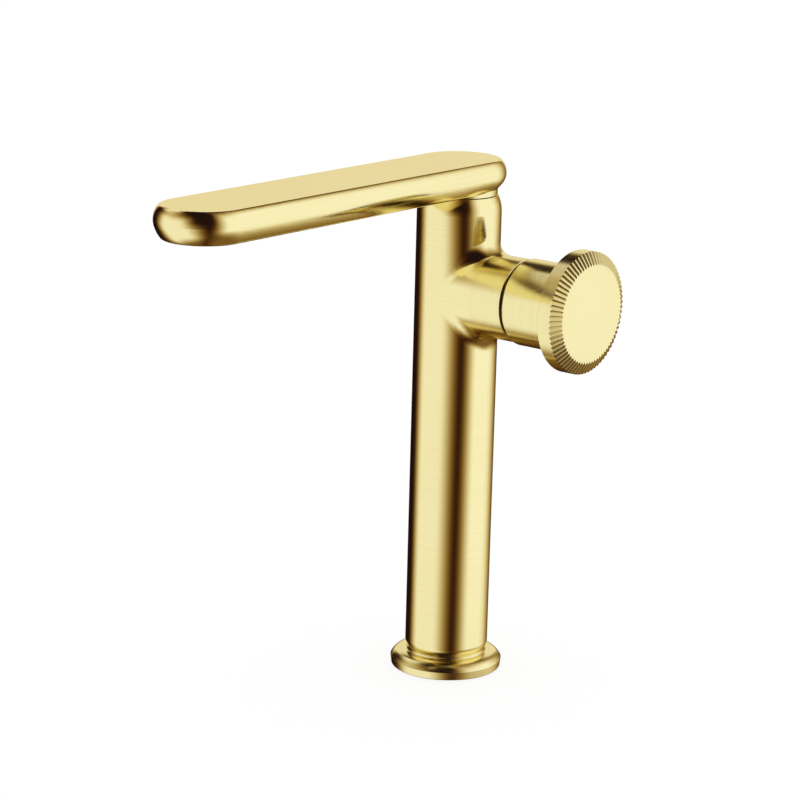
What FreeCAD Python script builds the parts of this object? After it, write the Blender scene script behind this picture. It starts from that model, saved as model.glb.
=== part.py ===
import FreeCAD, Part
import math
import os
from FreeCAD import Vector as V

# Tall basin mixer with a side valve, in millimetres. The origin is the centre of the foot on the
# deck, +Z is up, the spout points along -Y and the valve arm with its knob points along +X.
# Pieces on the arm are turned about +Z and then laid on the arm's axis by on_arm(), so that their
# height becomes the distance from the column's axis. Cutters run 1 mm past the metal.

# ---- clearances ----
SNUG = 0.05            # pieces that are screwed, brazed or pressed together
RUNNING = 0.06         # radial play of a shaft that turns in its bore
LOOSE = 0.1            # pieces that only pass by each other in one body
SEAM = 0.3             # free space between two bodies that move past each other

# ---- base ring and its gasket ----
RING_FOOT_R = 26.6
RING_FOOT_ROUND = 0.7
RING_R = 27.0          # at the crisp edge between the flared band and the dome
RING_BAND_H = 3.9
RING_CREST_R = 19.9    # the dome is level here, where the cove of the neck starts
RING_CREST_H = 7.65
RING_NECK_R = 18.95
RING_H = 8.85          # the column stands on the neck
DOME_IN = 0.155        # Bezier handles of the dome, as shares of its two sides: at the edge inwards
DOME_UP = 0.40         # and upwards,
DOME_REACH = 0.72      # at its crest outwards
COVE_PULL = 0.6        # both handles of the cove, as a share of its sides
JOINT_BEVEL = 0.3      # on the neck and on the column, makes the fine groove between them
GASKET_R = 21.8        # middle of the gasket groove
GASKET_W = 3.2
GASKET_H = 1.5

# ---- column ----
COLUMN_R = 20.0
COLUMN_WALL = 3.0
HEAD_H = 45.6          # column's top over the arm's axis
FOOT_ROUND_H = 3.85    # the foot narrows by FOOT_ROUND_IN over this height
FOOT_ROUND_IN = 1.05
FOOT_OUT = 0.81        # Bezier handles of the foot, as shares of these two: low down outwards
FOOT_UP = 0.58         # and upwards,
FOOT_TOP = 0.79        # and the upper one, on the wall
CROWN_H = 8.0          # the top edge is crowned in by CROWN_IN over this height
CROWN_IN = 1.9
LIP_H = 6.0            # the lip that closes the column's top round the spigot

# ---- valve arm ----
ARM_Z = 187.4
ARM_R = 19.67
ARM_WALL = 2.6
ARM_END = 40.3
ARM_BLEND = 8.5        # fillet where the arm leaves the column
ARM_EDGE = 0.4

# ---- foot block, inlets and fixing ----
FOOT_BLOCK_H = 34.0
INLET_X = 7.5          # hot at -X, cold at +X
INLET_Y = 3.0
INLET_THREAD_R = 4.46  # M10 x 1, minor radius
INLET_THREAD_L = 8.5
STUD_Y = -9.0
STUD_THREAD_R = 3.32   # M8, minor radius
STUD_THREAD_L = 8.6

# ---- tubes and water ways ----
TUBE_R = 4.0
TUBE_WALL = 1.0
TUBE_SOCKET_L = 5.0
WATERWAY_R = 3.0
SEAL_T = 1.3           # cord thickness of the tube and port seals
NIPPLE_R = 5.5
NIPPLE_BORE_R = 3.5
NIPPLE_SOCKET_L = 5.0
NIPPLE_EDGE = 1.0      # metal between a seal groove and the nipple's end

# ---- valve block and cartridge, along the arm ----
POCKET_FLOOR = 13.0
POCKET_R = 14.1
BLOCK_END = 29.5
PORT_RING_R = 7.5      # the three ports stand on this circle
PORT_ANGLES = (25.0, 145.0, 265.0)    # cold, hot, outlet
BASE_T = 3.9
PEG_R = 1.5
PEG_L = 2.5
PEG_RING_R = 11.4
DISC_R = 11.5
DISC_T = 3.2
MIXING_POCKET_EDGE = 1.5
MIXING_POCKET_D = 1.6
MIXING_POCKET_ANGLE = 190.0
DRIVE_SLOT_W = 3.0
DRIVE_SLOT_D = 1.3
FLANGE_R = 15.8
FLANGE_T = 2.4
NECK_R = 8.5
NECK_END = 42.0
NUT_H = 6.6
NUT_SLOT_W = 4.0
NUT_SLOT_H = 2.2
SPINDLE_R = 5.0
SPINDLE_SEAL_W = 1.6
SPINDLE_FLANGE_R = 10.8
SPINDLE_FLANGE_T = 2.6
WASHER_T = 1.8
SPLINE_R = 4.5
SPLINE_TOOTH = 0.5
SPLINE_TEETH = 18
SPLINE_START = 47.0
SPINDLE_END = 63.0

# ---- turning range of the knob, held by a lug between two shoulders ----
KNOB_TURN = 100.0
STOP_PLAY = 1.0        # degrees left at either end
LUG_ANGLE = 26.0
STOP_R = 12.4
STOP_IN_R = 9.4
STOP_RING_T = 2.6
STOP_LUG_H = 3.4
KEY_W = 2.2
KEY_H = 1.1
KEY_ROOT = 1.5         # how deep the key sits in the neck

# ---- knob ----
KNOB_START = 41.3
SLEEVE_R = 20.4
SLEEVE_WALL = 2.4
SLEEVE_ROUND = 1.2
DISC_BACK = 68.2
DISC_RIM_END = 75.6
FACE_X = 78.3
KNOB_R = 28.5
FACE_R = 23.25
RIM_EDGE = 0.35
FACE_T = 7.0           # metal between the cavity and the face
HUB_R = 13.0
HUB_START = 48.5
INSERT_R = 10.0
INSERT_END = 65.0
INSERT_COLLAR_T = 1.8
KNURLS = 72
KNURL_W = 2.05
KNURL_DEPTH = 0.72
KNURL_RISE = 0.24      # how much shallower a groove is at the face than at the rim
GRUB_X = 57.0
GRUB_R = 1.95
GRUB_L = 7.6
GRUB_HEX = 2.0
GRUB_HEX_D = 3.0
PLUG_R = 2.9
PLUG_T = 2.8

# ---- spout ----
SPOUT_LIFT = 2.3       # underside of the bar over the column's top
SPOUT_T = 14.6
SPOUT_WIDEST_H = 7.8   # height of the widest line over the underside
SPOUT_REACH = 174.8    # column axis to the axis of the round tip
SPOUT_TOP_HALF = 18.35 # half the width of the flat top, and the radius of its two ends
SPOUT_HALF = 21.6      # half the full width
SPOUT_UNDER_HALF = 18.0
SPOUT_WALL = 2.4
BULLNOSE_OUT = 0.20    # Bezier handles below the widest line, as shares: at the underside outwards
BULLNOSE_UP = 0.45     # and at the widest line downwards
BACK_UNDER_HALF = 17.2 # the back end is cut in more over the column, with its lower handle tipped up
BACK_OUT = 0.39
BACK_TIP = 0.30
BACK_RUN = 24.0        # and passes into the bar's section over this length
SHOULDER_UP = 0.47     # handles above it: at the widest line upwards,
SHOULDER_OUT = 0.50    # at the flat top outwards
SHOULDER_DROP = 0.07   # and downwards
COLLAR_R = 17.8        # short collar under the spout that stands over the column
INNER_BOSS_H = 4.6

# ---- swivel ----
SPOUT_TURN = 60.0      # to either side
SPIGOT_R = 12.0
SPIGOT_BORE_R = 8.6
SOCKET_H = 18.0
SOCKET_FLOOR = 4.0
SPIGOT_GROOVE_D = 2.0
SPIGOT_GROOVE_H = 2.4
SPIGOT_GROOVES = (1.2, 4.8)           # heights of the two seal grooves over the spigot's end
STOP_SCREW_R = 2.0
STOP_SCREW_H = 10.6                   # height over the socket's floor
STOP_SCREW_PLAY = 0.2
STOP_GROOVE_D = 1.5
SLIP_T = 1.2
SLIP_W = 3.8
SLIP_DEPTH = 0.8

# ---- aerator in the tip ----
AERATOR_R = 9.6
AERATOR_WALL = 1.2
AERATOR_H = 6.2
AERATOR_RECESS = 0.7
AERATOR_LIP = 0.9
AERATOR_LIP_H = 1.0
AERATOR_SEAL_T = 1.4
AERATOR_SEAL_W = 1.75
AERATOR_SEAT_W = 2.0   # width of the ledge over the seal
AERATOR_SEAT_T = 1.5
AERATOR_BOSS_WALL = 2.4
CORE_H = 3.4
SCREEN_T = 0.8
REGULATOR_EDGE = 0.6
REGULATOR_HOLES = 8
REGULATOR_HOLE_R = 0.8
REGULATOR_RING_R = 5.0
GRID_PITCH = 2.2
GRID_HOLE = 1.5
SCREEN_PITCH = 1.9
SCREEN_HOLE = 0.9

# ---- what follows from them ----
COLUMN_TOP_Z = ARM_Z + HEAD_H
SPOUT_UNDER_Z = COLUMN_TOP_Z + SPOUT_LIFT
SPOUT_WIDEST_Z = SPOUT_UNDER_Z + SPOUT_WIDEST_H
SPOUT_TOP_Z = SPOUT_UNDER_Z + SPOUT_T
BORE_R = COLUMN_R - COLUMN_WALL
ARM_BORE_R = ARM_R - ARM_WALL
COLUMN_TOP_R = COLUMN_R - CROWN_IN
LIP_Z = COLUMN_TOP_Z - LIP_H
LIP_HOLE_R = SPIGOT_R + SEAM
BLOCK_R = ARM_BORE_R - LOOSE
SEAL_R = SEAL_T / 2
TUBE_HOLE_R = TUBE_R + LOOSE
TUBE_SEAL_HOLE_R = TUBE_R + SEAL_T + LOOSE
CARTRIDGE_R = POCKET_R - 2 * LOOSE
FIXED_DISC_X = POCKET_FLOOR + BASE_T + SNUG
MOVING_DISC_X = FIXED_DISC_X + DISC_T + SNUG
SPINDLE_FLANGE_X = MOVING_DISC_X + DISC_T + SNUG
WASHER_X = SPINDLE_FLANGE_X + SPINDLE_FLANGE_T + SNUG
HOUSING_INNER_END = WASHER_X + WASHER_T + SNUG
FLANGE_X = BLOCK_END
NUT_X = FLANGE_X + FLANGE_T
STOP_RING_X = NUT_X + NUT_H
STOP_LUG_X = STOP_RING_X + STOP_RING_T
SOCKET_Z = LIP_Z - SOCKET_H
SPIGOT_Z = SOCKET_Z + SOCKET_FLOOR + SEAM
STOP_SCREW_Z = SOCKET_Z + SOCKET_FLOOR + STOP_SCREW_H
COLLAR_Z = COLUMN_TOP_Z - SLIP_DEPTH + SLIP_T + SNUG
SPIGOT_TOP_Z = SPOUT_UNDER_Z + SPOUT_WALL + INNER_BOSS_H
AERATOR_Z = SPOUT_UNDER_Z + AERATOR_RECESS
AERATOR_TOP_Z = AERATOR_Z + AERATOR_H
CORE_Z = AERATOR_Z + AERATOR_LIP_H
CORE_R = AERATOR_R - AERATOR_WALL - LOOSE
SCREEN_Z = CORE_Z + CORE_H
SLEEVE_BORE_R = SLEEVE_R - SLEEVE_WALL


# ---- building tools ----
def outline(start, *steps):
    """A closed face in the XZ plane. A step is the next point of a straight side, or a list of the
    poles of a Bezier side, the last of which is its end."""
    edges = []
    here = start
    for step in steps + (start,):
        poles = [here] + (step if isinstance(step, list) else [step])
        here = poles[-1]
        points = [V(x, 0, z) for x, z in poles]
        if len(points) > 2:
            curve = Part.BezierCurve()
            curve.setPoles(points)
            edges.append(curve.toShape())
        elif points[0].distanceToPoint(points[1]) > 1e-6:
            edges.append(Part.makeLine(*points))
    return Part.Face(Part.Wire(edges))


def turned(face, angle=360.0, centre=V(0, 0, 0)):
    return face.revolve(centre, V(0, 0, 1), angle)


def rod(radius, low, high, x=0.0, y=0.0):
    return Part.makeCylinder(radius, high - low, V(x, y, low))


def tube(outer, inner, low, high, x=0.0, y=0.0):
    return rod(outer, low, high, x, y).cut(rod(inner, low - 1, high + 1, x, y))


def seal_ring(inner, thickness, middle_z, x=0.0, y=0.0):
    """A round-section ring whose inside just touches a shaft of radius inner."""
    cord = thickness / 2
    return Part.makeTorus(inner + cord, cord, V(x, y, middle_z))


def sector(outer, inner, low, high, middle, width):
    """Part of a tube, width degrees wide and centred on the angle middle from +X."""
    face = outline((inner, low), (outer, low), (outer, high), (inner, high))
    piece = turned(face, width)
    piece.rotate(V(0, 0, 0), V(0, 0, 1), middle - width / 2)
    return piece


def star(radii, low, high):
    """A prism whose corners stand at even angles, at these radii."""
    step = 2 * math.pi / len(radii)
    points = [V(r * math.cos(k * step), r * math.sin(k * step), low) for k, r in enumerate(radii)]
    return Part.Face(Part.makePolygon(points + points[:1])).extrude(V(0, 0, high - low))


def hexagon(flats, low, high):
    return star([flats / math.sqrt(3)] * 6, low, high)


def serration(radius, tooth, low, high):
    """A shaft with SPLINE_TEETH triangular teeth between the radii radius - tooth and radius."""
    return star([radius, radius - tooth] * SPLINE_TEETH, low, high)


def square_grid(radius, pitch, hole, low, high):
    """Square holes on a grid inside a circle, as one shape to cut with."""
    reach = int(radius // pitch)
    holes = []
    for i in range(-reach, reach + 1):
        for j in range(-reach, reach + 1):
            x = i * pitch
            y = j * pitch
            if math.hypot(abs(x) + hole / 2, abs(y) + hole / 2) < radius:
                holes.append(Part.makeBox(hole, hole, high - low, V(x - hole / 2, y - hole / 2, low)))
    return Part.makeCompound(holes)


def across(shape, height):
    """Turn a rod made along +Z so that it points along +X at that height."""
    piece = shape.copy()
    piece.rotate(V(0, 0, 0), V(0, 1, 0), 90)
    return piece.translated(V(0, 0, height))


def backwards(shape, height):
    """Turn a rod made along +Z so that it points along +Y at that height."""
    piece = shape.copy()
    piece.rotate(V(0, 0, 0), V(1, 0, 0), -90)
    return piece.translated(V(0, 0, height))


def on_arm(shape):
    """Lay a piece turned about +Z on the arm's axis. Its local +X then points down."""
    return across(shape, ARM_Z)


def at_tip(shape):
    return shape.translated(V(0, -SPOUT_REACH, 0))


def port_places():
    for angle in PORT_ANGLES:
        a = math.radians(angle)
        yield PORT_RING_R * math.sin(a), PORT_RING_R * math.cos(a)


def union(first, *others):
    return first.multiFuse(list(others)).removeSplitter()


# ---- foot ----
def base_ring():
    side = RING_R - RING_CREST_R
    rise = RING_CREST_H - RING_BAND_H
    dome = [
        (RING_R - DOME_IN * side, RING_BAND_H + DOME_UP * rise),
        (RING_CREST_R + DOME_REACH * side, RING_CREST_H),
        (RING_CREST_R, RING_CREST_H),
    ]
    neck_z = RING_H - JOINT_BEVEL
    cove = [
        (RING_CREST_R - COVE_PULL * (RING_CREST_R - RING_NECK_R), RING_CREST_H),
        (RING_NECK_R, neck_z - COVE_PULL * (neck_z - RING_CREST_H)),
        (RING_NECK_R, neck_z),
    ]
    hole = BORE_R + LOOSE
    foot = [(RING_FOOT_R, 0), (RING_FOOT_R, RING_FOOT_ROUND)]
    ring = turned(outline(
        (hole, 0), (RING_FOOT_R - RING_FOOT_ROUND, 0), foot,
        (RING_R, RING_BAND_H), dome, cove, (RING_NECK_R - JOINT_BEVEL, RING_H), (hole, RING_H)))
    groove = tube(GASKET_R + GASKET_W / 2, GASKET_R - GASKET_W / 2, -1, GASKET_H)
    return ring.cut(groove)


def base_gasket():
    half = GASKET_W / 2 - SNUG
    return tube(GASKET_R + half, GASKET_R - half, 0, GASKET_H - SNUG)


def foot_block():
    block = rod(BORE_R - SNUG, 0, FOOT_BLOCK_H)
    cuts = [rod(STUD_THREAD_R, -1, STUD_THREAD_L, 0, STUD_Y)]
    for x in (-INLET_X, INLET_X):
        cuts.append(rod(INLET_THREAD_R, -1, INLET_THREAD_L, x, INLET_Y))
        cuts.append(rod(WATERWAY_R, 0, FOOT_BLOCK_H, x, INLET_Y))
        cuts.append(rod(TUBE_HOLE_R, FOOT_BLOCK_H - TUBE_SOCKET_L, FOOT_BLOCK_H + 1, x, INLET_Y))
        cuts.append(rod(TUBE_SEAL_HOLE_R, FOOT_BLOCK_H - SEAL_T - LOOSE, FOOT_BLOCK_H + 1, x, INLET_Y))
    return block.cut(cuts)


def inlet_tube(x):
    low = FOOT_BLOCK_H - TUBE_SOCKET_L + LOOSE
    high = tube_entry_z() + TUBE_SOCKET_L - LOOSE
    return tube(TUBE_R, TUBE_R - TUBE_WALL, low, high, x, INLET_Y)


def tube_seals():
    lower = FOOT_BLOCK_H - SEAL_R
    upper = tube_entry_z() + SEAL_R
    rings = []
    for x in (-INLET_X, INLET_X):
        for z in (lower, upper):
            rings.append(seal_ring(TUBE_R, SEAL_T, z, x, INLET_Y))
    return Part.makeCompound(rings)


# ---- column and its arm ----
def column_body():
    foot_r = COLUMN_R - FOOT_ROUND_IN
    foot_z = RING_H + JOINT_BEVEL
    foot = [
        (foot_r + FOOT_OUT * FOOT_ROUND_IN, foot_z + FOOT_UP * FOOT_ROUND_H),
        (COLUMN_R, foot_z + FOOT_TOP * FOOT_ROUND_H),
        (COLUMN_R, foot_z + FOOT_ROUND_H),
    ]
    crown_z = COLUMN_TOP_Z - CROWN_H
    crown = [
        (COLUMN_R, crown_z + CROWN_H / 2),
        (COLUMN_TOP_R, COLUMN_TOP_Z),
    ]
    outside = turned(outline(
        (0, RING_H), (foot_r - JOINT_BEVEL, RING_H), (foot_r, foot_z), foot,
        (COLUMN_R, crown_z), crown, (0, COLUMN_TOP_Z)))
    arm = on_arm(rod(ARM_R, 0, ARM_END))
    casting = outside.fuse(arm).removeSplitter()
    saddle = [edge for edge in casting.Edges if is_saddle(edge)]
    casting = casting.makeFillet(ARM_BLEND, saddle)
    mouth = [edge for edge in casting.Edges if edge.BoundBox.XMin > ARM_END - 0.01]
    casting = casting.makeChamfer(ARM_EDGE, mouth)
    return casting.cut([
        rod(BORE_R, 0, LIP_Z),
        rod(LIP_HOLE_R, LIP_Z - 1, COLUMN_TOP_Z + 1),
        tube(LIP_HOLE_R + SLIP_W + SNUG, LIP_HOLE_R - 1, COLUMN_TOP_Z - SLIP_DEPTH, COLUMN_TOP_Z + 1),
        on_arm(rod(ARM_BORE_R, 0, ARM_END + 1)),
        backwards(rod(STOP_SCREW_R, 0, COLUMN_R + 1), STOP_SCREW_Z),
    ])


def is_saddle(edge):
    """The curve where the arm's cylinder meets the column's."""
    box = edge.BoundBox
    on_both = abs(box.ZMin - (ARM_Z - ARM_R)) < 1 and abs(box.ZMax - (ARM_Z + ARM_R)) < 1
    return on_both and box.XLength > 1


# ---- valve block inside the column ----
def tube_entry_z():
    """Height from which the round block holds a tube and its seal all the way round."""
    return ARM_Z - math.sqrt(BLOCK_R ** 2 - (INLET_Y + TUBE_SEAL_HOLE_R) ** 2)


def valve_block():
    barrel = on_arm(rod(BLOCK_R, -BORE_R, BLOCK_END))
    front = on_arm(rod(BLOCK_R, 0, BLOCK_END))
    block = barrel.common(rod(BORE_R - LOOSE, 0, SPOUT_TOP_Z)).fuse(front).removeSplitter()
    (cold_y, cold_h), (hot_y, hot_h), (out_y, out_h) = port_places()
    cuts = [on_arm(rod(POCKET_R, POCKET_FLOOR, BLOCK_END + 1))]
    for x, y, h in ((INLET_X, cold_y, -cold_h), (-INLET_X, hot_y, -hot_h)):
        cuts.append(rod(WATERWAY_R, 0, ARM_Z + h, x, INLET_Y))
        cuts.append(rod(TUBE_HOLE_R, 0, tube_entry_z() + TUBE_SOCKET_L, x, INLET_Y))
        cuts.append(rod(TUBE_SEAL_HOLE_R, 0, tube_entry_z() + SEAL_T + LOOSE, x, INLET_Y))
        cuts.append(across(rod(WATERWAY_R, x, POCKET_FLOOR + 1), ARM_Z + h).translated(V(0, y, 0)))
    cuts.append(across(rod(WATERWAY_R, 0, POCKET_FLOOR + 1), ARM_Z - out_h).translated(V(0, out_y, 0)))
    cuts.append(rod(NIPPLE_BORE_R, ARM_Z - out_h, SOCKET_Z, 0, out_y))
    cuts.append(rod(NIPPLE_R + LOOSE, nipple_span()[0] - LOOSE, SOCKET_Z, 0, out_y))
    for y, h in peg_places():
        cuts.append(on_arm(rod(PEG_R + LOOSE, POCKET_FLOOR - PEG_L - LOOSE, POCKET_FLOOR + 1, h, y)))
    return block.cut(cuts)


def outlet_y():
    return list(port_places())[2][0]


def nipple_span():
    """From its socket in the round block up into the floor of the swivel socket."""
    low = ARM_Z + math.sqrt(BLOCK_R ** 2 - outlet_y() ** 2) - NIPPLE_SOCKET_L
    return low, SOCKET_Z + SOCKET_FLOOR - LOOSE


def nipple_groove_heights():
    low, high = nipple_span()
    return low + NIPPLE_EDGE + SEAL_R, high - NIPPLE_EDGE - SEAL_R


def outlet_nipple():
    low, high = nipple_span()
    piece = tube(NIPPLE_R, NIPPLE_BORE_R, low, high, 0, outlet_y())
    grooves = []
    for middle in nipple_groove_heights():
        half = SEAL_R + LOOSE / 2
        grooves.append(tube(NIPPLE_R + 1, NIPPLE_R - SEAL_T, middle - half, middle + half, 0, outlet_y()))
    return piece.cut(grooves)


def nipple_seals():
    rings = [seal_ring(NIPPLE_R - SEAL_T, SEAL_T, z, 0, outlet_y()) for z in nipple_groove_heights()]
    return Part.makeCompound(rings)


# ---- cartridge ----
def peg_places():
    for angle in (PORT_ANGLES[0] + 60, PORT_ANGLES[1] + 60):
        a = math.radians(angle)
        yield PEG_RING_R * math.sin(a), PEG_RING_R * math.cos(a)


def port_holes(radius, low, high):
    return [rod(radius, low, high, h, y) for y, h in port_places()]


def cartridge_base():
    low = POCKET_FLOOR
    plate = rod(CARTRIDGE_R, low, low + BASE_T)
    pegs = [rod(PEG_R, low - PEG_L, low + 1, h, y) for y, h in peg_places()]
    plate = union(plate, *pegs)
    plate = plate.cut(port_holes(WATERWAY_R - LOOSE, low - 1, low + BASE_T + 1))
    return on_arm(plate.cut(port_holes(WATERWAY_R + SEAL_T + LOOSE, low - 1, low + SEAL_T)))


def cartridge_port_seals():
    middle = POCKET_FLOOR + SEAL_R
    rings = [seal_ring(WATERWAY_R, SEAL_T - SNUG, middle, h, y) for y, h in port_places()]
    return on_arm(Part.makeCompound(rings))


def fixed_disc():
    disc = rod(DISC_R, FIXED_DISC_X, FIXED_DISC_X + DISC_T)
    return on_arm(disc.cut(port_holes(WATERWAY_R - LOOSE, FIXED_DISC_X - 1, FIXED_DISC_X + DISC_T + 1)))


def drive_slot(low, high, width):
    return Part.makeBox(2 * DISC_R + 2, width, high - low, V(-DISC_R - 1, -width / 2, low))


def moving_disc():
    """The ceramic disc that the spindle turns. Its pocket joins the outlet to the two inlets."""
    low = MOVING_DISC_X
    disc = rod(DISC_R, low, low + DISC_T)
    outer = DISC_R - MIXING_POCKET_EDGE
    inner = PORT_RING_R - WATERWAY_R
    pocket = sector(outer, inner, low - 1, low + MIXING_POCKET_D, 180.0, MIXING_POCKET_ANGLE)
    slot = drive_slot(low + DISC_T - DRIVE_SLOT_D, low + DISC_T + 1, DRIVE_SLOT_W)
    return on_arm(disc.cut([pocket, slot]))


def cartridge_housing():
    start = POCKET_FLOOR + BASE_T
    shell = turned(outline(
        (DISC_R + LOOSE, start), (CARTRIDGE_R, start), (CARTRIDGE_R, FLANGE_X), (FLANGE_R, FLANGE_X),
        (FLANGE_R, NUT_X), (NECK_R, NUT_X), (NECK_R, NECK_END), (SPINDLE_R + RUNNING, NECK_END),
        (SPINDLE_R + RUNNING, HOUSING_INNER_END), (DISC_R + LOOSE, HOUSING_INNER_END)))
    return on_arm(union(shell, neck_key(NUT_X, NECK_END, 0.0)))


def neck_key(low, high, play):
    """The key along the cartridge's neck, or with play the keyway that takes it."""
    root = NECK_R - KEY_ROOT
    width = KEY_W + 2 * play
    return Part.makeBox(KEY_ROOT + KEY_H + play, width, high - low, V(root, -width / 2, low))


def friction_washer():
    return on_arm(tube(DISC_R, SPINDLE_R + LOOSE, WASHER_X, WASHER_X + WASHER_T))


def cartridge_nut():
    """Ring nut that clamps the cartridge. Four slots take the spanner."""
    nut = tube(BLOCK_R, NECK_R + KEY_H + LOOSE, NUT_X, NUT_X + NUT_H)
    low = NUT_X + NUT_H - NUT_SLOT_H
    slots = []
    for angle in (45, 135):
        slot = Part.makeBox(4 * BLOCK_R, NUT_SLOT_W, NUT_SLOT_H + 1, V(-2 * BLOCK_R, -NUT_SLOT_W / 2, low))
        slot.rotate(V(0, 0, 0), V(0, 0, 1), angle)
        slots.append(slot)
    return on_arm(nut.cut(slots))


def stop_ring():
    """Ring keyed to the cartridge's neck. Its lug holds the knob to its turning range."""
    ring = tube(STOP_R, NECK_R + SNUG, STOP_RING_X, STOP_LUG_X)
    lug = sector(STOP_R, STOP_IN_R + SNUG, STOP_LUG_X - 1, STOP_LUG_X + STOP_LUG_H, 180.0, LUG_ANGLE)
    return on_arm(union(ring, lug).cut(neck_key(STOP_RING_X - 1, STOP_LUG_X + 1, SNUG)))


# ---- what turns with the knob ----
def spindle():
    flange = rod(SPINDLE_FLANGE_R, SPINDLE_FLANGE_X, SPINDLE_FLANGE_X + SPINDLE_FLANGE_T)
    blade_low = MOVING_DISC_X + DISC_T - DRIVE_SLOT_D + SNUG
    blade = rod(SPINDLE_FLANGE_R, blade_low, SPINDLE_FLANGE_X + 1).common(
        drive_slot(blade_low, SPINDLE_FLANGE_X + 1, DRIVE_SLOT_W - 2 * SNUG))
    stem = rod(SPINDLE_R, SPINDLE_FLANGE_X, SPLINE_START)
    spline = serration(SPLINE_R, SPLINE_TOOTH, SPLINE_START - 1, SPINDLE_END)
    piece = union(flange, blade, stem, spline)
    low = spindle_seal_x() - SPINDLE_SEAL_W / 2
    groove = tube(SPINDLE_R + 1, SPINDLE_R - SEAL_T + SNUG, low, low + SPINDLE_SEAL_W)
    return on_arm(piece.cut(groove))


def spindle_seal_x():
    return (NUT_X + NECK_END) / 2


def spindle_seal():
    return on_arm(seal_ring(SPINDLE_R - SEAL_T + SNUG, SEAL_T - SNUG, spindle_seal_x()))


def knob_insert():
    """Plastic adapter between the spline and the knob's hub, with the two stop shoulders."""
    collar_z = HUB_START - INSERT_COLLAR_T
    low = NECK_END + SEAM
    body = rod(INSERT_R, collar_z, INSERT_END)
    collar = rod(STOP_R, collar_z, HUB_START)
    skirt_angle = 360.0 - KNOB_TURN - LUG_ANGLE - 2 * STOP_PLAY
    lug_end = 180.0 + LUG_ANGLE / 2
    skirt = sector(STOP_R, STOP_IN_R, low, collar_z + 1, lug_end + STOP_PLAY + skirt_angle / 2, skirt_angle)
    piece = union(body, collar, skirt)
    bore = serration(SPLINE_R + SNUG, SPLINE_TOOTH, SPLINE_START, INSERT_END + 1)
    entry = rod(SPINDLE_R + LOOSE, low - 1, SPLINE_START + LOOSE)
    screw = across(rod(GRUB_R + SNUG, 0, INSERT_R + 1), GRUB_X)
    return on_arm(piece.cut([bore, entry, screw]))


def knurl_cutter():
    """One V groove along the bevel, as a prism that rises a little towards the face."""
    run = KNOB_R - FACE_R
    rise = FACE_X - DISC_RIM_END
    slope = math.hypot(run, rise)
    along = V(-run / slope, 0, rise / slope)
    out = V(rise / slope, 0, run / slope)
    start = V(KNOB_R, 0, DISC_RIM_END)
    finish = V(FACE_R, 0, FACE_X)
    path = (finish + out * KNURL_RISE) - start
    lead = path / path.Length
    top = start - lead + out * KNURL_DEPTH
    section = [start - lead - out * KNURL_DEPTH, top + V(0, KNURL_W, 0), top - V(0, KNURL_W, 0)]
    prism = Part.Face(Part.makePolygon(section + section[:1]))
    return prism.extrude(path + lead * 2)


def knob():
    face_back = FACE_X - FACE_T
    round_in = [
        (SLEEVE_R - SLEEVE_ROUND / 4, KNOB_START + SLEEVE_ROUND / 4),
        (SLEEVE_R, KNOB_START + SLEEVE_ROUND),
    ]
    bore = INSERT_R + SNUG
    bore_end = INSERT_END + SEAM
    body = turned(outline(
        (SLEEVE_BORE_R, KNOB_START), (SLEEVE_R - SLEEVE_ROUND, KNOB_START), round_in,
        (SLEEVE_R, DISC_BACK), (KNOB_R - RIM_EDGE, DISC_BACK), (KNOB_R, DISC_BACK + RIM_EDGE),
        (KNOB_R, DISC_RIM_END), (FACE_R, FACE_X), (0, FACE_X), (0, bore_end), (bore, bore_end),
        (bore, HUB_START), (HUB_R, HUB_START), (HUB_R, face_back), (SLEEVE_BORE_R, face_back)))
    grooves = []
    for k in range(KNURLS):
        groove = knurl_cutter()
        groove.rotate(V(0, 0, 0), V(0, 0, 1), 360.0 / KNURLS * k)
        grooves.append(groove)
    body = body.cut(grooves)
    screw_hole = across(rod(GRUB_R + SNUG, 0, HUB_R + 1), GRUB_X)
    key_hole = across(rod(PLUG_R + SNUG, HUB_R + 1, SLEEVE_R + 1), GRUB_X)
    return on_arm(body.cut([screw_hole, key_hole]))


def grub_screw():
    tip = SPLINE_R + LOOSE
    end = tip + GRUB_L
    screw = rod(GRUB_R, tip, end).cut(hexagon(GRUB_HEX, end - GRUB_HEX_D, end + 1))
    return on_arm(across(screw, GRUB_X))


def screw_plug():
    plug = across(rod(PLUG_R, SLEEVE_R - PLUG_T, SLEEVE_R + 1), GRUB_X)
    return on_arm(plug.common(rod(SLEEVE_R - SNUG, 0, FACE_X)))


# ---- spout ----
def half_section(inset, under_half, out, tip):
    """Half of the bar's section, right of its middle plane. The handle at the underside goes out and is
    tipped up by these shares of the lower curve's two sides."""
    top = SPOUT_TOP_Z - inset
    under = SPOUT_UNDER_Z + inset
    wide = SPOUT_HALF - inset
    top_half = SPOUT_TOP_HALF - inset
    lower = SPOUT_WIDEST_Z - under
    upper = top - SPOUT_WIDEST_Z
    flat_end = under_half - inset
    bullnose = [
        (flat_end + out * (wide - flat_end), under + tip * lower),
        (wide, SPOUT_WIDEST_Z - BULLNOSE_UP * lower),
        (wide, SPOUT_WIDEST_Z),
    ]
    shoulder = [
        (wide, SPOUT_WIDEST_Z + SHOULDER_UP * upper),
        (top_half + SHOULDER_OUT * (wide - top_half), top - SHOULDER_DROP * upper),
        (top_half, top),
    ]
    return outline((0, under), (flat_end, under), bullnose, shoulder, (0, top))


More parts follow.
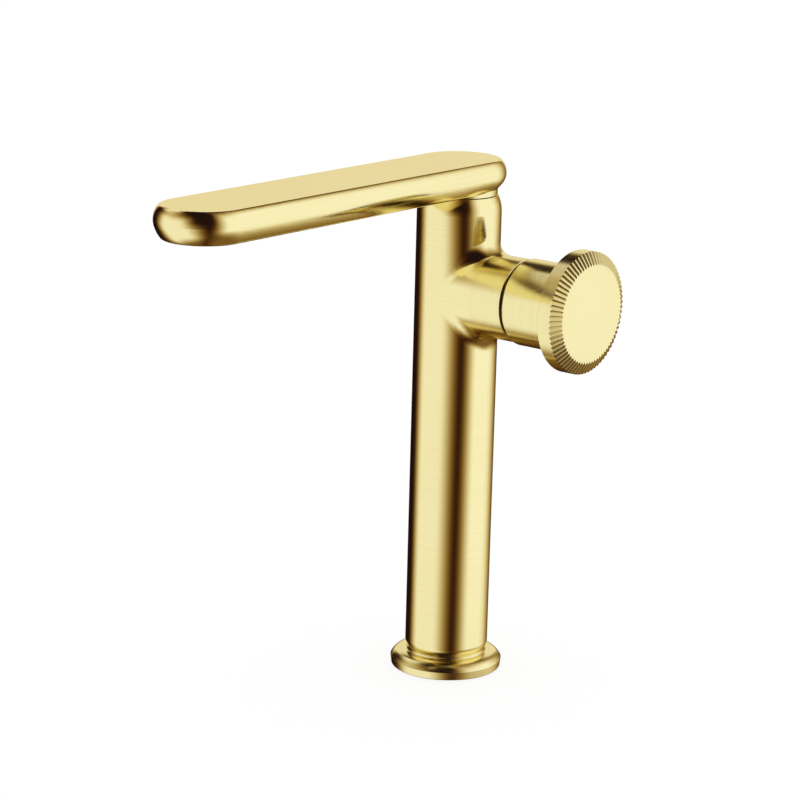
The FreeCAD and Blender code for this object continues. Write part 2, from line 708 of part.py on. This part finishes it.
def bar(inset):
    """The spout's bar: a flat section with full sides, round at both ends."""
    front = half_section(inset, SPOUT_UNDER_HALF, BULLNOSE_OUT, 0.0)
    rear = half_section(inset, BACK_UNDER_HALF, BACK_OUT, BACK_TIP)
    pieces = [turned(rear, 180.0), at_tip(turned(front, -180.0))]
    run_end = front.translated(V(0, -BACK_RUN, 0))
    passage = Part.makeLoft([rear.OuterWire, run_end.OuterWire], True, True)
    straight = run_end.extrude(V(0, BACK_RUN - SPOUT_REACH, 0))
    for piece in (passage, straight):
        pieces += [piece, piece.mirror(V(0, 0, 0), V(1, 0, 0))]
    return union(*pieces)


def spout():
    collar = rod(COLLAR_R, COLLAR_Z, SPOUT_WIDEST_Z)
    body = bar(0.0).fuse(collar).removeSplitter()
    floor = SPOUT_UNDER_Z + SPOUT_WALL
    spigot_boss = rod(SPIGOT_R + SPOUT_WALL, floor - 1, SPIGOT_TOP_Z)
    seat_top = AERATOR_TOP_Z + AERATOR_SEAL_T + AERATOR_SEAT_T
    aerator_boss = at_tip(rod(AERATOR_R + AERATOR_BOSS_WALL, floor - 1, seat_top))
    channel = bar(SPOUT_WALL).cut([spigot_boss, aerator_boss])
    return body.cut([
        channel,
        rod(SPIGOT_R + SNUG, 0, SPIGOT_TOP_Z + 1),
        at_tip(rod(AERATOR_R, 0, AERATOR_TOP_Z + AERATOR_SEAL_T)),
        at_tip(rod(AERATOR_R - AERATOR_SEAT_W, 0, seat_top + 1)),
    ])


def slip_ring():
    low = COLUMN_TOP_Z - SLIP_DEPTH
    return tube(LIP_HOLE_R + SLIP_W, LIP_HOLE_R + SNUG, low, low + SLIP_T)


def swivel_socket():
    top = LIP_Z - SNUG
    floor = SOCKET_Z + SOCKET_FLOOR
    socket = rod(BORE_R - SNUG, SOCKET_Z, top)
    return socket.cut([
        rod(SPIGOT_R + RUNNING, floor, top + 1),
        rod(NIPPLE_R + LOOSE, SOCKET_Z - 1, floor + 1, 0, outlet_y()),
        backwards(rod(STOP_SCREW_R, 0, COLUMN_R), STOP_SCREW_Z),
    ])


def spout_spigot():
    """Hollow journal under the spout. The stop screw runs in its side groove."""
    piece = tube(SPIGOT_R, SPIGOT_BORE_R, SPIGOT_Z, SPIGOT_TOP_Z)
    grooves = []
    for height in SPIGOT_GROOVES:
        low = SPIGOT_Z + height
        grooves.append(tube(SPIGOT_R + 1, SPIGOT_R - SPIGOT_GROOVE_D, low, low + SPIGOT_GROOVE_H))
    half = STOP_SCREW_R + STOP_SCREW_PLAY
    root = SPIGOT_R - STOP_GROOVE_D
    width = 2 * (SPOUT_TURN + math.degrees(math.asin(half / root)))
    grooves.append(sector(SPIGOT_R + 1, root, STOP_SCREW_Z - half, STOP_SCREW_Z + half, 90.0, width))
    return piece.cut(grooves)


def spigot_seals():
    inner = SPIGOT_R - SPIGOT_GROOVE_D
    cord = SPIGOT_GROOVE_D
    rings = [seal_ring(inner, cord, SPIGOT_Z + height + SPIGOT_GROOVE_H / 2) for height in SPIGOT_GROOVES]
    return Part.makeCompound(rings)


def spout_stop_screw():
    end = COLUMN_R - SEAM
    screw = rod(STOP_SCREW_R - SNUG, SPIGOT_R - STOP_GROOVE_D + SEAM, end)
    return backwards(screw.cut(hexagon(GRUB_HEX, end - GRUB_HEX_D, end + 1)), STOP_SCREW_Z)


# ---- aerator ----
def aerator_shell():
    outer = AERATOR_R - SNUG
    inner = AERATOR_R - AERATOR_WALL
    lip = inner - AERATOR_LIP
    return at_tip(turned(outline(
        (lip, AERATOR_Z), (outer, AERATOR_Z), (outer, AERATOR_TOP_Z), (inner, AERATOR_TOP_Z),
        (inner, CORE_Z), (lip, CORE_Z))))


def aerator_core():
    """Flow straightener: a grid of square channels, as seen from under the tip."""
    core = rod(CORE_R, CORE_Z, SCREEN_Z)
    holes = square_grid(CORE_R - AERATOR_LIP, GRID_PITCH, GRID_HOLE, CORE_Z - 1, SCREEN_Z + 1)
    return at_tip(core.cut(holes))


def aerator_screen():
    top = SCREEN_Z + SCREEN_T
    holes = square_grid(CORE_R - AERATOR_LIP, SCREEN_PITCH, SCREEN_HOLE, SCREEN_Z - 1, top + 1)
    return at_tip(rod(CORE_R, SCREEN_Z, top).cut(holes))


def flow_regulator():
    low = SCREEN_Z + SCREEN_T
    plate = rod(CORE_R - REGULATOR_EDGE, low, AERATOR_TOP_Z - LOOSE)
    holes = []
    for k in range(REGULATOR_HOLES):
        a = 2 * math.pi * k / REGULATOR_HOLES
        x = REGULATOR_RING_R * math.cos(a)
        y = REGULATOR_RING_R * math.sin(a)
        holes.append(rod(REGULATOR_HOLE_R, low - 1, AERATOR_TOP_Z, x, y))
    return at_tip(plate.cut(holes))


def aerator_seal():
    outer = AERATOR_R - SNUG
    top = AERATOR_TOP_Z + AERATOR_SEAL_T
    return at_tip(tube(outer, outer - AERATOR_SEAL_W, AERATOR_TOP_Z, top))


PIECES = {
    "base_ring": base_ring,
    "base_gasket": base_gasket,
    "foot_block": foot_block,
    "hot_inlet_tube": lambda: inlet_tube(-INLET_X),
    "cold_inlet_tube": lambda: inlet_tube(INLET_X),
    "tube_seals": tube_seals,
    "column_body": column_body,
    "valve_block": valve_block,
    "outlet_nipple": outlet_nipple,
    "nipple_seals": nipple_seals,
    "cartridge_base": cartridge_base,
    "cartridge_port_seals": cartridge_port_seals,
    "fixed_disc": fixed_disc,
    "moving_disc": moving_disc,
    "cartridge_housing": cartridge_housing,
    "friction_washer": friction_washer,
    "cartridge_nut": cartridge_nut,
    "stop_ring": stop_ring,
    "spindle": spindle,
    "spindle_seal": spindle_seal,
    "knob_insert": knob_insert,
    "knob": knob,
    "grub_screw": grub_screw,
    "screw_plug": screw_plug,
    "spout": spout,
    "slip_ring": slip_ring,
    "swivel_socket": swivel_socket,
    "spout_spigot": spout_spigot,
    "spigot_seals": spigot_seals,
    "spout_stop_screw": spout_stop_screw,
    "aerator_shell": aerator_shell,
    "aerator_core": aerator_core,
    "aerator_screen": aerator_screen,
    "flow_regulator": flow_regulator,
    "aerator_seal": aerator_seal,
}

os.makedirs("parts", exist_ok=True)
for name, make in PIECES.items():
    shape = make()
    shape.exportStep("parts/" + name + ".step")
    print(name, "solids", len(shape.Solids), "valid", shape.isValid(), "volume", round(shape.Volume, 1))
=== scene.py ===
"""Looks of the tall basin mixer: brushed gold-coloured metal under soft studio light. Lengths are in
metres."""
import math

import bpy
import numpy as np
from mathutils import Matrix, Vector


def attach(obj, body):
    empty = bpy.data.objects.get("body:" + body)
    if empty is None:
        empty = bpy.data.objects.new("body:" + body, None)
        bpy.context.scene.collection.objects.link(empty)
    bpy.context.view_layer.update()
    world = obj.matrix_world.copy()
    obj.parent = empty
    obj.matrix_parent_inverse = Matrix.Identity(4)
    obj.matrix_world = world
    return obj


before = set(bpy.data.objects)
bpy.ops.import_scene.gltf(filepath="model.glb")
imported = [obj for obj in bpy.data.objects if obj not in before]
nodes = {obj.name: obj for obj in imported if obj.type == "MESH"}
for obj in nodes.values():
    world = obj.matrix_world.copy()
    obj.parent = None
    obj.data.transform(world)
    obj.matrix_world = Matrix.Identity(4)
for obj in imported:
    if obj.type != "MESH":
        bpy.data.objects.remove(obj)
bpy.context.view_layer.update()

# ---- camera ----
CAMERA_AT = Vector((0.783963, -1.010144, 0.462158))
CAMERA_YAW = math.radians(38.959)      # to the left of +Y
CAMERA_PITCH = math.radians(-14.482)   # below the horizon
CAMERA_ROLL = math.radians(1.485)
SENSOR_WIDTH = 36.0                    # sensor and lens in millimetres
LENS = 124.163
NEAREST = 0.05


def add_camera():
    data = bpy.data.cameras.new("camera")
    data.sensor_width = SENSOR_WIDTH
    data.lens = LENS
    data.clip_start = NEAREST
    camera = bpy.data.objects.new("camera", data)
    turn = Matrix.Rotation(CAMERA_YAW, 4, "Z")
    tilt = Matrix.Rotation(math.pi / 2 + CAMERA_PITCH, 4, "X")
    roll = Matrix.Rotation(CAMERA_ROLL, 4, "Z")
    camera.matrix_world = Matrix.Translation(CAMERA_AT) @ turn @ tilt @ roll
    bpy.context.scene.collection.objects.link(camera)
    bpy.context.scene.camera = camera


add_camera()


# ---- shader tools ----
class Wire:
    """An output socket of a node tree. Arithmetic on it adds Math nodes, so a pattern reads as its
    formula."""

    def __init__(self, tree, socket):
        self.tree = tree
        self.socket = socket

    def math(self, operation, *values):
        return self.tree.add("ShaderNodeMath", {"operation": operation}, dict(enumerate(values)))

    def __add__(self, other):
        return self.math("ADD", self, other)

    def __radd__(self, other):
        return self.math("ADD", other, self)

    def __sub__(self, other):
        return self.math("SUBTRACT", self, other)

    def __mul__(self, other):
        return self.math("MULTIPLY", self, other)

    def __rmul__(self, other):
        return self.math("MULTIPLY", other, self)


class Tree:
    """A node tree under construction."""

    OBJECT_PLACE = 3   # the Texture Coordinate node's Object output
    MIX_RESULT = 2     # the Mix node's colour result, and its two colours
    MIX_LOW = 6
    MIX_HIGH = 7

    def __init__(self, tree):
        self.tree = tree
        tree.nodes.clear()

    def add(self, kind, settings=None, inputs=None, output=0):
        """Add a node: its settings first, then the value or link of each socket."""
        node = self.tree.nodes.new(kind)
        for name, value in (settings or {}).items():
            setattr(node, name, value)
        for name, value in (inputs or {}).items():
            if isinstance(value, Wire):
                self.tree.links.new(value.socket, node.inputs[name])
            else:
                node.inputs[name].default_value = value
        return Wire(self, node.outputs[output]) if node.outputs else None

    def mix(self, low, high, share):
        """The colour that goes from low to high as share goes from 0 to 1."""
        sockets = {"Factor": share, self.MIX_LOW: low, self.MIX_HIGH: high}
        return self.add("ShaderNodeMix", {"data_type": "RGBA"}, sockets, self.MIX_RESULT)

    def blend(self, share, first, second):
        """The shader that goes from first to second as share goes from 0 to 1."""
        return self.add("ShaderNodeMixShader", {}, {"Fac": share, 1: first, 2: second})

    def place(self):
        """Object coordinates."""
        return self.add("ShaderNodeTexCoord", output=self.OBJECT_PLACE)

    def vector_math(self, operation, *values, output=0):
        inputs = dict(enumerate(values))
        return self.add("ShaderNodeVectorMath", {"operation": operation}, inputs, output)

    def noise(self, scale, detail=2.0, roughness=0.5):
        """Noise from 0 to 1 whose grains are 1 / scale metres long. scale is one number or one for each
        axis."""
        sockets = {"Vector": self.place(), "Scale": np.broadcast_to(scale, 3).tolist()}
        vector = self.add("ShaderNodeMapping", {"vector_type": "POINT"}, sockets)
        sockets = {"Vector": vector, "Scale": 1.0, "Detail": detail, "Roughness": roughness}
        return self.add("ShaderNodeTexNoise", {}, sockets)

    def step(self, value, low, high):
        """0 below low, 1 above high, smooth between."""
        sockets = {"Value": value, "From Min": low, "From Max": high}
        return self.add("ShaderNodeMapRange", {"interpolation_type": "SMOOTHSTEP"}, sockets)

    def surface(self, shader):
        self.add("ShaderNodeOutputMaterial", {}, {"Surface": shader})


def new_material(name):
    material = bpy.data.materials.new(name)
    material.use_nodes = True
    return material, Tree(material.node_tree)


def rgb(red, green, blue):
    return (red, green, blue, 1.0)


def finish_material(tree, colour, roughness, metallic, height, depth, **constants):
    """The Principled shader: colour and roughness may vary, height is raised by depth metres."""
    normal = tree.add("ShaderNodeBump", {}, {"Height": height, "Distance": depth})
    sockets = {"Base Color": colour, "Roughness": roughness, "Metallic": metallic, "Normal": normal}
    sockets.update(constants)
    tree.surface(tree.add("ShaderNodeBsdfPrincipled", {}, sockets))


# ---- brushed gold ----
GOLD = rgb(0.955, 0.873, 0.487)
GOLD_DEEP = rgb(0.925, 0.838, 0.45)
GOLD_EDGE = rgb(0.94, 0.873, 0.65)     # at a grazing look
DEEP_LOW = 0.35            # the colours change over this part of the pattern
DEEP_HIGH = 0.7
GOLD_ROUGHNESS = 0.08
BROAD_ROUGH = 0.07         # more where the broad lines are high
HANDLED_ROUGH = 0.02       # and where it was wiped
HAND_ROUGH = 0.07          # and on the arm, knob and base ring, which are brushed by hand
BRUSH_LONG = 12.0          # brush lines per metre along the brushing
BRUSH_FINE = 5200.0        # and across it
BRUSH_BROAD = 1300.0
BRUSH_DEPTH = 1.0e-5
HANDLED = 9.0              # patches per metre, left by wiping and handling
ARM_START = 0.0195         # from here on the brushing of the column turns to run round the arm
ARM_BRUSHED = 0.0235
KNOB_AXIS = 0.1874         # over the deck
KNURL_START = 0.0232       # from the knob's axis: the knurled bevel lies between these two
KNURL_END = 0.0281
KNURL_FADE = 0.0003
KNURL_ROUGH = 0.12         # the grooves' cut walls are rougher than the brushed face


def brush_lines(tree, along, across):
    """Noise in lines that run along the named axes, across of them per metre."""
    return tree.noise([BRUSH_LONG if axis in along else across for axis in "xyz"])


def on_bevel(tree):
    """1 between the knurled bevel's inner and outer radius round the knob's axis, 0 elsewhere."""
    offset = tree.vector_math("SUBTRACT", tree.place(), (0.0, 0.0, KNOB_AXIS))
    across = tree.vector_math("MULTIPLY", offset, (0.0, 1.0, 1.0))
    radius = tree.vector_math("LENGTH", across, output=1)
    inside = tree.step(radius, KNURL_START - KNURL_FADE, KNURL_START)
    return inside - tree.step(radius, KNURL_END, KNURL_END + KNURL_FADE)


def brushed(name, along, added=0.0, arm=False, knurl=False):
    """Brushed gold. The lines run along the axes named in along: fine ones in height, broader ones in
    colour and roughness, and wide patches where it was wiped. added is more roughness. With arm the lines
    turn to run round the arm, with knurl the bevel is rougher."""
    material, tree = new_material(name)
    fine = brush_lines(tree, along, BRUSH_FINE)
    broad = brush_lines(tree, along, BRUSH_BROAD)
    if arm:
        out = tree.add("ShaderNodeSeparateXYZ", {}, {"Vector": tree.place()})
        share = tree.step(out, ARM_START, ARM_BRUSHED)
        fine = fine + share * (brush_lines(tree, "yz", BRUSH_FINE) - fine)
        broad = broad + share * (brush_lines(tree, "yz", BRUSH_BROAD) - broad)
        added = HAND_ROUGH * share
    handled = tree.noise(HANDLED, 1.0)
    deep = tree.step(broad * 0.5 + handled * 0.5, DEEP_LOW, DEEP_HIGH)
    roughness = GOLD_ROUGHNESS + BROAD_ROUGH * broad + HANDLED_ROUGH * handled + added
    if knurl:
        roughness = roughness + KNURL_ROUGH * on_bevel(tree)
    colour = tree.mix(GOLD, GOLD_DEEP, deep)
    finish_material(tree, colour, roughness, 1.0, fine, BRUSH_DEPTH, **{"Specular Tint": GOLD_EDGE})
    return material


def use(material, *names):
    for name in names:
        mesh = nodes[name].data
        mesh.materials.clear()
        mesh.materials.append(material)


use(brushed("brushed_gold_round_the_column", "xy", arm=True), "column_body")
use(brushed("brushed_gold_round_the_base", "xy", HAND_ROUGH), "base_ring", "aerator_shell")
use(brushed("brushed_gold_round_the_knob", "yz", HAND_ROUGH, knurl=True), "knob", "screw_plug")
use(brushed("brushed_gold_along_the_spout", "y"), "spout")

# ---- other finishes ----
GRAIN_DETAIL = 3.0
GRAIN_SHARPNESS = 0.6
GRAIN_SHARE = 0.3          # of the grain in the colour's pattern, the rest is patches
DARK_LOW = 0.35            # the colours change over this part of the pattern
DARK_HIGH = 0.68
ROUGH_LEAST = 0.8          # of the stated roughness, raised by the grain and the patches
ROUGH_GRAIN = 0.25
ROUGH_PATCH = 0.2
BRASS = (rgb(0.80, 0.62, 0.33), rgb(0.66, 0.48, 0.24))
PATCHES = 160.0            # per metre


def worked(name, colours, roughness, grain, depth, metallic=0.0, patches=PATCHES):
    """Any other finish: its light and dark colour mixed in patches, its roughness varied by the grain, which
    also gives the height. grain is the noise scale, one number or one for each axis."""
    material, tree = new_material(name)
    light, dark = colours
    fine = tree.noise(grain, GRAIN_DETAIL, GRAIN_SHARPNESS)
    patch = tree.noise(patches, GRAIN_DETAIL)
    pattern = tree.step(patch * (1.0 - GRAIN_SHARE) + fine * GRAIN_SHARE, DARK_LOW, DARK_HIGH)
    rough = roughness * (ROUGH_LEAST + ROUGH_GRAIN * fine + ROUGH_PATCH * patch)
    finish_material(tree, tree.mix(light, dark, pattern), rough, metallic, fine, depth)
    return material


use(worked("turned_brass", BRASS, 0.34, (900.0, 900.0, 2600.0), 8e-6, 1.0),
    "foot_block", "swivel_socket", "spout_spigot", "outlet_nipple")
use(worked("turned_brass_across", BRASS, 0.34, (2600.0, 900.0, 900.0), 8e-6, 1.0),
    "valve_block", "cartridge_nut", "spindle")
COPPER = (rgb(0.83, 0.50, 0.36), rgb(0.60, 0.33, 0.22))
use(worked("drawn_copper", COPPER, 0.32, (2200.0, 2200.0, 40.0), 6e-6, 1.0, 60.0),
    "hot_inlet_tube", "cold_inlet_tube")
RUBBER = (rgb(0.035, 0.035, 0.036), rgb(0.07, 0.07, 0.068))
use(worked("black_rubber", RUBBER, 0.62, 3000.0, 1.5e-5),
    "base_gasket", "tube_seals", "nipple_seals", "cartridge_port_seals", "spindle_seal", "spigot_seals",
    "aerator_seal")
GREY_PLASTIC = (rgb(0.50, 0.51, 0.52), rgb(0.43, 0.44, 0.46))
use(worked("grey_plastic", GREY_PLASTIC, 0.48, 2400.0, 6e-6),
    "cartridge_base", "cartridge_housing", "aerator_core", "flow_regulator")
WHITE_PLASTIC = (rgb(0.82, 0.82, 0.78), rgb(0.74, 0.73, 0.68))
use(worked("white_plastic", WHITE_PLASTIC, 0.42, 2000.0, 5e-6),
    "friction_washer", "stop_ring", "knob_insert")
BROWN_PLASTIC = (rgb(0.30, 0.21, 0.12), rgb(0.24, 0.17, 0.10))
use(worked("bronze_filled_plastic", BROWN_PLASTIC, 0.45, 2000.0, 5e-6), "slip_ring")
CERAMIC = (rgb(0.90, 0.89, 0.86), rgb(0.82, 0.80, 0.76))
use(worked("lapped_ceramic", CERAMIC, 0.22, 5000.0, 1e-6), "fixed_disc", "moving_disc")
STEEL = (rgb(0.62, 0.62, 0.63), rgb(0.50, 0.50, 0.52))
use(worked("turned_steel", STEEL, 0.30, 2800.0, 5e-6, 1.0),
    "grub_screw", "spout_stop_screw", "aerator_screen")


# ---- threads in the foot block ----
THREAD_START = 0.0006      # over the underside, past the countersink's edge
THREAD_SINK = 0.00005      # how far a ridge is let into the wall
THREAD_FOOT = 0.4          # half the ridge's width on the wall, in pitches
THREAD_LEAST = 0.02        # of the full section, at the very ends
RUN_IN = 2.0               # a ridge grows to its full section over 1 / RUN_IN of a turn
TURN_STEPS = 48
THREADS = {                # middle x and y, bore radius, pitch, ridge height, length
    "hot_inlet_thread": (-0.0075, 0.003, 0.00446, 0.001, 0.0003, 0.0078),
    "cold_inlet_thread": (0.0075, 0.003, 0.00446, 0.001, 0.0003, 0.0078),
    "stud_thread": (0.0, -0.009, 0.00332, 0.00125, 0.0004, 0.0078),
}


def inner_thread(name, x, y, bore, pitch, height, length):
    """A ridge wound up the bore's wall: at turn t it stands at start + pitch * t. Its section is a triangle
    with its foot on the wall and its crest height inwards, and it grows in and dies out over half a turn."""
    turns = length / pitch - 1.0
    t = np.linspace(0.0, turns, int(turns * TURN_STEPS))
    grown = np.clip(np.minimum(t, turns - t) * RUN_IN, THREAD_LEAST, 1.0)
    foot = THREAD_FOOT * pitch * grown
    along = np.stack([-foot, 0.0 * t, foot], 1)
    radius = np.stack([bore + 0.0 * t, bore - height * grown, bore + 0.0 * t], 1)
    radius[:, [0, 2]] += THREAD_SINK
    angle = 2.0 * math.pi * t[:, None]
    z = THREAD_START + 0.5 * pitch + pitch * t[:, None] + along
    points = np.stack([x + radius * np.cos(angle), y + radius * np.sin(angle), z], -1)
    first = 3 * np.arange(len(t) - 1)[:, None] + np.arange(3)
    following = 3 * np.arange(len(t) - 1)[:, None] + (np.arange(3) + 1) % 3
    sides = np.stack([first, following, following + 3, first + 3], -1).reshape(-1, 4)
    last = 3 * (len(t) - 1)
    ends = [(2, 1, 0), (last, last + 1, last + 2)]
    mesh = bpy.data.meshes.new(name)
    mesh.from_pydata(points.reshape(-1, 3).tolist(), [], sides.tolist() + ends)
    mesh.materials.append(nodes["foot_block"].data.materials[0])
    thread = bpy.data.objects.new(name, mesh)
    bpy.context.scene.collection.objects.link(thread)
    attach(thread, "faucet_body")


for thread_name, sizes in THREADS.items():
    inner_thread(thread_name, *sizes)


# ---- studio ----
SOFT_LIGHT = 0.9


def studio_world():
    """White for the camera and for what shines or lets light through, a little less for the rest."""
    world = bpy.data.worlds.new("studio")
    world.use_nodes = True
    bpy.context.scene.world = world
    tree = Tree(world.node_tree)
    rays = tree.tree.nodes.new("ShaderNodeLightPath")
    camera, glossy, through = [
        Wire(tree, rays.outputs["Is %s Ray" % kind]) for kind in ("Camera", "Glossy", "Transmission")]
    white = tree.add("ShaderNodeMath", {"operation": "MINIMUM"}, {0: camera + glossy + through, 1: 1.0})
    strength = SOFT_LIGHT + (1.0 - SOFT_LIGHT) * white
    shader = tree.add("ShaderNodeBackground", {}, {"Color": rgb(1.0, 1.0, 1.0), "Strength": strength})
    tree.add("ShaderNodeOutputWorld", {}, {"Surface": shader})


TENT_RADIUS = 3.0
TENT_COLUMNS = 180
TENT_ROWS = 90
CAMERA_HEADING = math.atan2(CAMERA_AT.y, CAMERA_AT.x)
# the tent's bright panels, in degrees: middle to the camera's right, half width, fade on the left and
# right, lower edge over the horizon and its fade, upper edge and its fade, brightness
PANELS = (
    (-66.0, 25.0, 43.0, 64.0, -45.0, 25.0, 15.0, 46.0, 0.96),       # left
    (83.0, 21.0, 53.0, 84.0, -16.0, 40.0, 31.0, 74.0, 1.0),         # right
    (184.0, 20.0, 12.0, 12.0, 5.0, 12.0, 28.0, 12.0, 0.93),         # behind
    (-171.0, 120.0, 100.0, 100.0, -70.0, 30.0, -62.0, 50.0, 0.33),  # low, all round
    (-140.0, 6.0, 10.0, 98.0, 43.0, 17.0, 58.0, 6.0, 0.92),         # high, behind on the left
)
# a black card over the camera, in the same terms: brightness is the share of the light that it takes
BLACK_CARD = (4.0, 12.0, 46.0, 24.0, 26.0, 40.0, 90.0, 1.0, 0.96)
CLOTH_DARKEST = (0.014, 0.006, 0.006)
CLOTH_POWER = (1.5, 1.98, 3.15)
OPEN_LOW = 0.97            # from here on the cloth opens on the white world
OPEN_HIGH = 1.0


def fade(value, start, length):
    """0 below start, 1 from start + length on: t * t * (3 - 2 * t) between."""
    t = np.clip((value - start) / length, 0.0, 1.0)
    return t * t * (3.0 - 2.0 * t)


def soft_panel(side, height, middle, half, left_fade, right_fade, low, low_fade, high, high_fade, bright):
    """A rectangle with soft edges in directions given in degrees: side to the camera's right, height over
    the horizon. bright inside, 0 outside."""
    x = (side - middle + 180.0) % 360.0 - 180.0
    across = fade(x, -half - left_fade, left_fade) * (1.0 - fade(x, half, right_fade))
    upright = fade(height, low - low_fade, low_fade) * (1.0 - fade(height, high, high_fade))
    return bright * across * upright


def light_level(side, height):
    """How bright the tent is, 0 to 1: panels add as 1 - product(1 - panel), and the card takes its share
    off."""
    dark = np.ones_like(side)
    for panel in PANELS:
        dark *= 1.0 - soft_panel(side, height, *panel)
    return (1.0 - dark) * (1.0 - soft_panel(side, height, *BLACK_CARD))


def light_tent():
    """A dark cloth sphere round the set, seen by shiny surfaces only. Each point stands TENT_RADIUS out at
    its side and height, and each colour channel is darkest + (1 - darkest) * level ** power."""
    u = np.linspace(-180.0, 180.0, TENT_COLUMNS + 1)
    v = np.linspace(-90.0, 90.0, TENT_ROWS + 1)
    u, v = np.meshgrid(u, v)
    heading = CAMERA_HEADING + np.radians(u)
    height = np.radians(v)
    flat = np.cos(height)
    place = np.stack([np.cos(heading) * flat, np.sin(heading) * flat, np.sin(height)], -1)
    width = TENT_COLUMNS + 1
    corner = np.arange(TENT_ROWS * width).reshape(TENT_ROWS, width)[:, :-1].ravel()
    faces = np.stack([corner, corner + 1, corner + width + 1, corner + width], -1)
    mesh = bpy.data.meshes.new("light_tent")
    mesh.from_pydata((TENT_RADIUS * place).reshape(-1, 3).tolist(), [], faces.tolist())
    level = light_level(u, v).ravel()
    colour = [low + (1.0 - low) * level ** power for low, power in zip(CLOTH_DARKEST, CLOTH_POWER)]
    layer = mesh.attributes.new("cloth", "FLOAT_COLOR", "POINT")
    layer.data.foreach_set("color", np.stack(colour + [level], -1).ravel())
    material, tree = new_material("tent_cloth")
    cloth = tree.add("ShaderNodeAttribute", {"attribute_name": "cloth"})
    glow = tree.add("ShaderNodeEmission", {}, {"Color": cloth, "Strength": 1.0})
    clear = tree.add("ShaderNodeBsdfTransparent")
    opening = tree.step(Wire(tree, cloth.socket.node.outputs["Alpha"]), OPEN_LOW, OPEN_HIGH)
    tree.surface(tree.blend(opening, glow, clear))
    mesh.materials.append(material)
    tent = bpy.data.objects.new("light_tent", mesh)
    bpy.context.scene.collection.objects.link(tent)
    for kind in ("camera", "diffuse", "shadow", "transmission", "volume_scatter"):
        setattr(tent, "visible_" + kind, False)


FLOOR_HALF = 4.0
FLOOR_DROP = 0.0002        # under the base, so that the two faces don't meet
FLOOR_TONE = 0.9
FLOOR_SHADOW = 0.25        # how much of the floor's light can be shaded
FLOOR_WHITE = 1.015        # the open floor, as the camera sees it


def studio_floor():
    """A pale square board. For the camera a part of its light is its own, which keeps it white and the
    shadow soft."""
    corners = [(x * FLOOR_HALF, y * FLOOR_HALF, 0.0) for x, y in ((-1, -1), (1, -1), (1, 1), (-1, 1))]
    mesh = bpy.data.meshes.new("floor")
    mesh.from_pydata(corners, [], [(0, 1, 2, 3)])
    material, tree = new_material("floor")
    board = tree.add("ShaderNodeBsdfDiffuse", {}, {"Color": rgb(FLOOR_TONE, FLOOR_TONE, FLOOR_TONE)})
    lit = FLOOR_SHADOW * FLOOR_TONE * SOFT_LIGHT
    glow = tree.add("ShaderNodeEmission", {}, {"Strength": (FLOOR_WHITE - lit) / (1.0 - FLOOR_SHADOW)})
    shadowed = tree.blend(1.0 - FLOOR_SHADOW, board, glow)
    is_camera_ray = tree.add("ShaderNodeLightPath")
    tree.surface(tree.blend(is_camera_ray, board, shadowed))
    mesh.materials.append(material)
    floor = bpy.data.objects.new("floor", mesh)
    floor.location.z = -FLOOR_DROP
    floor.visible_glossy = False
    bpy.context.scene.collection.objects.link(floor)


studio_world()
studio_floor()
light_tent()

bpy.context.scene.view_settings.view_transform = "Standard"
